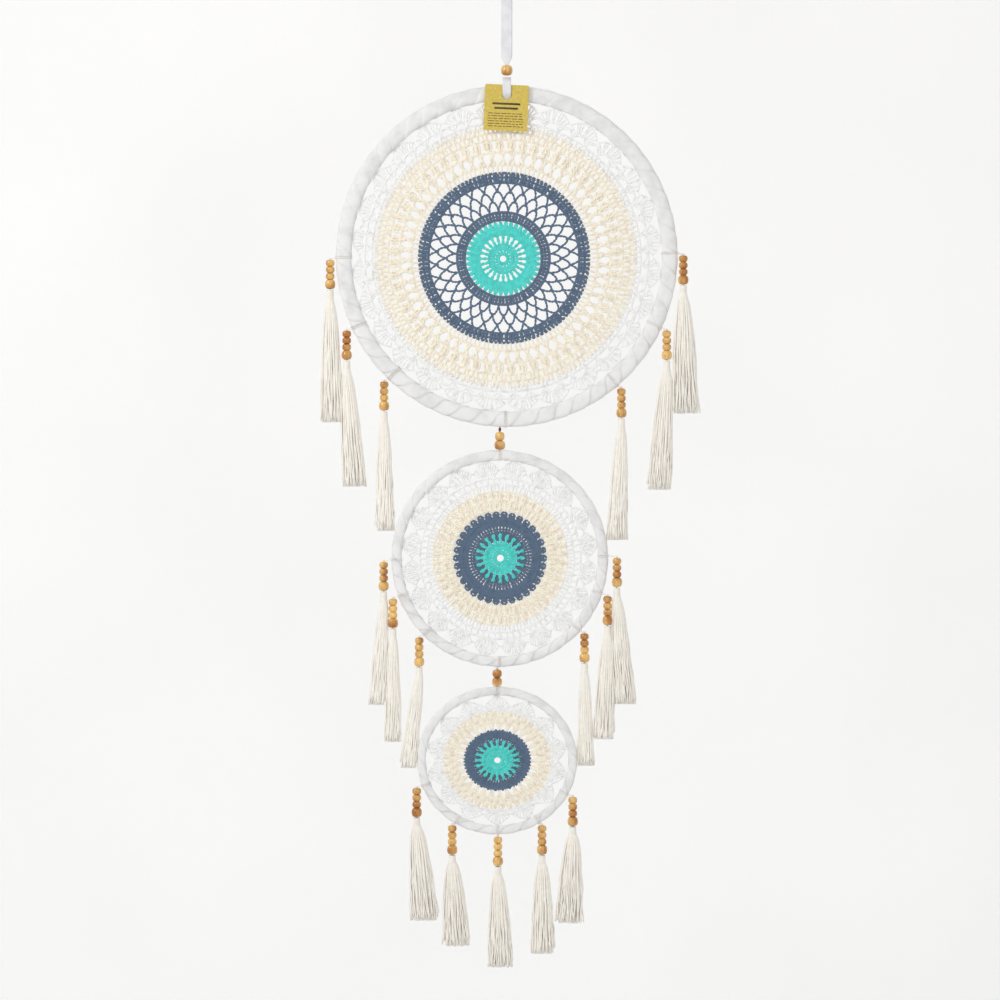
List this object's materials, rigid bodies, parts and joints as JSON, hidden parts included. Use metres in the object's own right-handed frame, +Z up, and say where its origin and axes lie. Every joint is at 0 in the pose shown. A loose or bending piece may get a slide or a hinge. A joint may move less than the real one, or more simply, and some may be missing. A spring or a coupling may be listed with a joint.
{
  "type": "dream catcher",
  "caption": "Wall hanging of three wrapped hoops with crocheted webs, wooden beads and cotton tassels.",
  "frame": {"origin": "point where a nail or hook carries the hanging strap", "axes": "+Z up, -Y out of the front face, +X to the viewer's right"},
  "size_m": [0.3528, 0.015, 0.9431],
  "materials": {
    "strap_ribbon": "matte",
    "wrap_ribbon": "matte",
    "bead_wood": "gloss",
    "hoop_core": "satin",
    "crochet_turquoise": "matte",
    "crochet_blue": "matte",
    "crochet_cream": "matte",
    "crochet_white": "matte",
    "tag_card": "matte",
    "cotton_thread": "matte"
  },
  "bodies": {
    "strap": {"hanging_strap": "strap_ribbon"},
    "hanger": {"strap_bead": "bead_wood"},
    "hoop_1": {"hoop_1_core": "hoop_core", "hoop_1_wrap": "wrap_ribbon", "web_1_turquoise": "crochet_turquoise", "web_1_blue": "crochet_blue", "web_1_cream": "crochet_cream", "web_1_white": "crochet_white", "strap_lower_loop": "strap_ribbon"},
    "tag": {"swing_tag": "tag_card"},
    "link_1": {"link_1_thread": "cotton_thread", "link_1_beads": "bead_wood"},
    "hoop_2": {"hoop_2_core": "hoop_core", "hoop_2_wrap": "wrap_ribbon", "web_2_turquoise": "crochet_turquoise", "web_2_blue": "crochet_blue", "web_2_cream": "crochet_cream", "web_2_white": "crochet_white"},
    "link_2": {"link_2_thread": "cotton_thread", "link_2_beads": "bead_wood"},
    "hoop_3": {"hoop_3_core": "hoop_core", "hoop_3_wrap": "wrap_ribbon", "web_3_turquoise": "crochet_turquoise", "web_3_blue": "crochet_blue", "web_3_cream": "crochet_cream", "web_3_white": "crochet_white"},
    "tassel_01": {"tassel_01": "cotton_thread", "tassel_01_beads": "bead_wood"},
    "tassel_02": {"tassel_02": "cotton_thread", "tassel_02_beads": "bead_wood"},
    "tassel_03": {"tassel_03": "cotton_thread", "tassel_03_beads": "bead_wood"},
    "tassel_04": {"tassel_04": "cotton_thread", "tassel_04_beads": "bead_wood"},
    "tassel_05": {"tassel_05": "cotton_thread", "tassel_05_beads": "bead_wood"},
    "tassel_06": {"tassel_06": "cotton_thread", "tassel_06_beads": "bead_wood"},
    "tassel_07": {"tassel_07": "cotton_thread", "tassel_07_beads": "bead_wood"},
    "tassel_08": {"tassel_08": "cotton_thread", "tassel_08_beads": "bead_wood"},
    "tassel_09": {"tassel_09": "cotton_thread", "tassel_09_beads": "bead_wood"},
    "tassel_10": {"tassel_10": "cotton_thread", "tassel_10_beads": "bead_wood"},
    "tassel_11": {"tassel_11": "cotton_thread", "tassel_11_beads": "bead_wood"},
    "tassel_12": {"tassel_12": "cotton_thread", "tassel_12_beads": "bead_wood"},
    "tassel_13": {"tassel_13": "cotton_thread", "tassel_13_beads": "bead_wood"},
    "tassel_14": {"tassel_14": "cotton_thread", "tassel_14_beads": "bead_wood"},
    "tassel_15": {"tassel_15": "cotton_thread", "tassel_15_beads": "bead_wood"},
    "tassel_16": {"tassel_16": "cotton_thread", "tassel_16_beads": "bead_wood"},
    "tassel_17": {"tassel_17": "cotton_thread", "tassel_17_beads": "bead_wood"}
  },
  "joints": [
    {"name": "strap_twist", "type": "hinge", "parent": "strap", "child": "hanger", "pos_m": [0, 0, -0.1033], "axis": [0, 0, 1], "range_deg": [-180, 180]},
    {"name": "hoop_1_tilt", "type": "hinge", "parent": "hanger", "child": "hoop_1", "pos_m": [0, 0, -0.1081], "axis": [-1, 0, 0], "range_deg": [-30, 30]},
    {"name": "tag_swing", "type": "hinge", "parent": "hoop_1", "child": "tag", "pos_m": [0, -0.0066, -0.1269], "axis": [0, 1, 0], "range_deg": [-20, 20]},
    {"name": "link_1_tilt", "type": "hinge", "parent": "hoop_1", "child": "link_1", "pos_m": [-0.0065, 0, -0.43927], "axis": [-1, 0, 0], "range_deg": [-30, 30]},
    {"name": "hoop_2_twist", "type": "hinge", "parent": "link_1", "child": "hoop_2", "pos_m": [-0.0065, 0, -0.55997], "axis": [0, 0, 1], "range_deg": [-180, 180]},
    {"name": "link_2_tilt", "type": "hinge", "parent": "hoop_2", "child": "link_2", "pos_m": [-0.009, 0, -0.66274], "axis": [-1, 0, 0], "range_deg": [-30, 30]},
    {"name": "hoop_3_twist", "type": "hinge", "parent": "link_2", "child": "hoop_3", "pos_m": [-0.009, 0, -0.74894], "axis": [0, 0, 1], "range_deg": [-180, 180]},
    {"name": "tassel_01_swing", "type": "hinge", "parent": "hoop_1", "child": "tassel_01", "pos_m": [-0.16089, 0, -0.2785], "axis": [-1, 0, 0], "range_deg": [-40, 40]},
    {"name": "tassel_02_swing", "type": "hinge", "parent": "hoop_1", "child": "tassel_02", "pos_m": [-0.14583, 0, -0.3451], "axis": [-1, 0, 0], "range_deg": [-40, 40]},
    {"name": "tassel_03_swing", "type": "hinge", "parent": "hoop_1", "child": "tassel_03", "pos_m": [-0.11177, 0, -0.39284], "axis": [-1, 0, 0], "range_deg": [-40, 40]},
    {"name": "tassel_04_swing", "type": "hinge", "parent": "hoop_1", "child": "tassel_04", "pos_m": [0.1045, 0, -0.39945], "axis": [-1, 0, 0], "range_deg": [-40, 40]},
    {"name": "tassel_05_swing", "type": "hinge", "parent": "hoop_1", "child": "tassel_05", "pos_m": [0.14583, 0, -0.3451], "axis": [-1, 0, 0], "range_deg": [-40, 40]},
    {"name": "tassel_06_swing", "type": "hinge", "parent": "hoop_1", "child": "tassel_06", "pos_m": [0.16087, 0, -0.27429], "axis": [-1, 0, 0], "range_deg": [-40, 40]},
    {"name": "tassel_07_swing", "type": "hinge", "parent": "hoop_2", "child": "tassel_07", "pos_m": [-0.1089, 0, -0.56086], "axis": [-1, 0, 0], "range_deg": [-40, 40]},
    {"name": "tassel_08_swing", "type": "hinge", "parent": "hoop_2", "child": "tassel_08", "pos_m": [-0.10242, 0, -0.59583], "axis": [-1, 0, 0], "range_deg": [-40, 40]},
    {"name": "tassel_09_swing", "type": "hinge", "parent": "hoop_2", "child": "tassel_09", "pos_m": [-0.07891, 0, -0.63238], "axis": [-1, 0, 0], "range_deg": [-40, 40]},
    {"name": "tassel_10_swing", "type": "hinge", "parent": "hoop_2", "child": "tassel_10", "pos_m": [0.0696, 0, -0.62849], "axis": [-1, 0, 0], "range_deg": [-40, 40]},
    {"name": "tassel_11_swing", "type": "hinge", "parent": "hoop_2", "child": "tassel_11", "pos_m": [0.09032, 0, -0.59331], "axis": [-1, 0, 0], "range_deg": [-40, 40]},
    {"name": "tassel_12_swing", "type": "hinge", "parent": "hoop_2", "child": "tassel_12", "pos_m": [0.09587, 0, -0.55729], "axis": [-1, 0, 0], "range_deg": [-40, 40]},
    {"name": "tassel_13_swing", "type": "hinge", "parent": "hoop_3", "child": "tassel_13", "pos_m": [-0.08024, 0, -0.77289], "axis": [-1, 0, 0], "range_deg": [-40, 40]},
    {"name": "tassel_14_swing", "type": "hinge", "parent": "hoop_3", "child": "tassel_14", "pos_m": [-0.04884, 0, -0.80828], "axis": [-1, 0, 0], "range_deg": [-40, 40]},
    {"name": "tassel_15_swing", "type": "hinge", "parent": "hoop_3", "child": "tassel_15", "pos_m": [-0.00831, 0, -0.81913], "axis": [-1, 0, 0], "range_deg": [-40, 40]},
    {"name": "tassel_16_swing", "type": "hinge", "parent": "hoop_3", "child": "tassel_16", "pos_m": [0.03084, 0, -0.80828], "axis": [-1, 0, 0], "range_deg": [-40, 40]},
    {"name": "tassel_17_swing", "type": "hinge", "parent": "hoop_3", "child": "tassel_17", "pos_m": [0.05805, 0, -0.78138], "axis": [-1, 0, 0], "range_deg": [-40, 40]}
  ]
}
